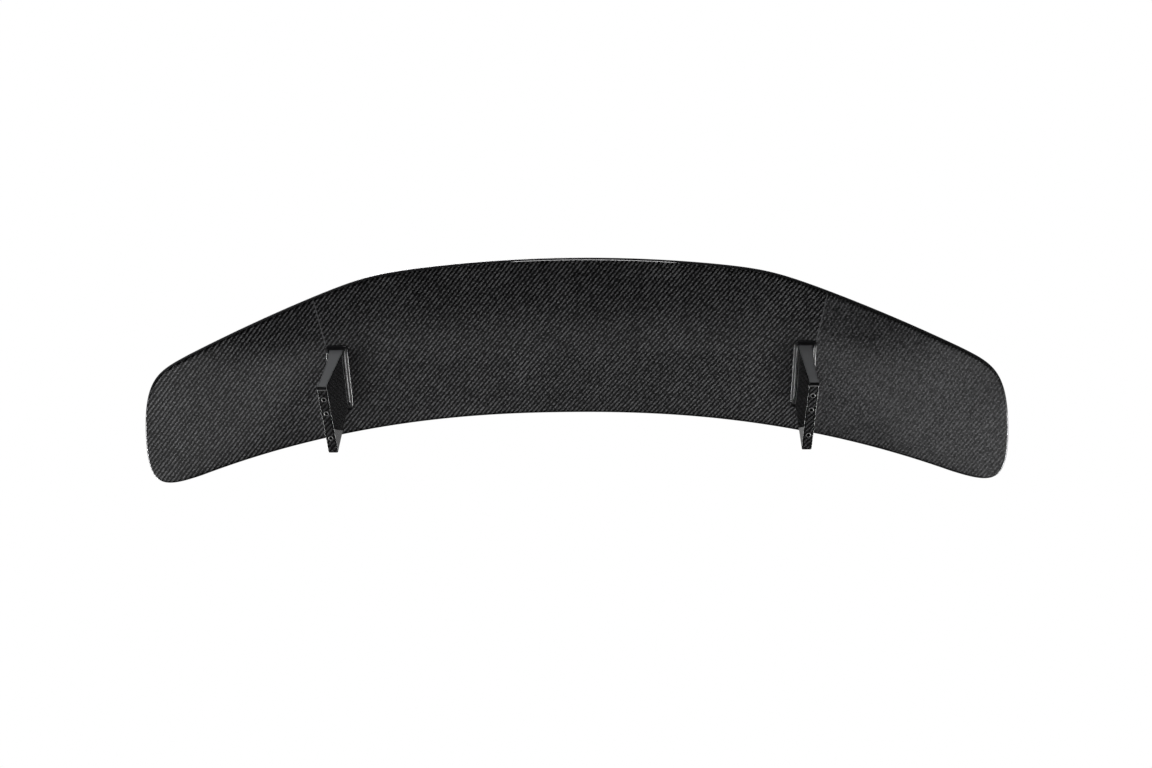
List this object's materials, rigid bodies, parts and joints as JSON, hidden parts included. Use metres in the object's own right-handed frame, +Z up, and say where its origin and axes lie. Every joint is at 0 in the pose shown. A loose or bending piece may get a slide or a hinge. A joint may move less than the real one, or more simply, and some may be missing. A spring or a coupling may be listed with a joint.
{
  "type": "racing rear wing",
  "caption": "Swept, drooping carbon-fibre rear wing with rounded tips, held up by two slim bonded fins that bolt down through threaded inserts in their feet.",
  "frame": {"origin": "on the ground plane under the middle of the wing's outline, where the feet of the fins stand", "axes": "+X to the car's right along the span, +Y forward toward the leading edge, +Z up from the feet to the wing"},
  "size_m": [1.3308, 0.3288, 0.1813],
  "materials": {
    "twill_skin": "2x2 twill carbon fibre laminate under a glossy clear coat",
    "twill_fin": "2x2 twill carbon fibre laminate under a glossy clear coat",
    "fin_laminate": "solid carbon laminate, cut edges sealed with smooth clear resin",
    "structural_foam": "closed-cell structural foam, hidden inside the wing",
    "hard_point_alloy": "milled aluminium, hidden inside the wing",
    "stud_steel": "zinc-plated steel stud, hidden in the joint",
    "insert_steel": "bright stainless threaded insert"
  },
  "bodies": {
    "root": {"upper_skin": "twill_skin", "lower_skin_center": "twill_skin", "foam_core_center": "structural_foam", "lower_skin_left": "twill_skin", "foam_core_left": "structural_foam", "hard_point_left": "hard_point_alloy", "fin_core_left": "fin_laminate", "fin_inner_skin_left": "twill_fin", "fin_outer_skin_left": "twill_fin", "root_flange_left": "twill_fin", "root_stud_left_rear": "stud_steel", "root_stud_left_front": "stud_steel", "foot_insert_left_rear": "insert_steel", "foot_insert_left_middle": "insert_steel", "foot_insert_left_front": "insert_steel", "lower_skin_right": "twill_skin", "foam_core_right": "structural_foam", "hard_point_right": "hard_point_alloy", "fin_core_right": "fin_laminate", "fin_inner_skin_right": "twill_fin", "fin_outer_skin_right": "twill_fin", "root_flange_right": "twill_fin", "root_stud_right_rear": "stud_steel", "root_stud_right_front": "stud_steel", "foot_insert_right_rear": "insert_steel", "foot_insert_right_middle": "insert_steel", "foot_insert_right_front": "insert_steel"}
  },
  "joints": []
}
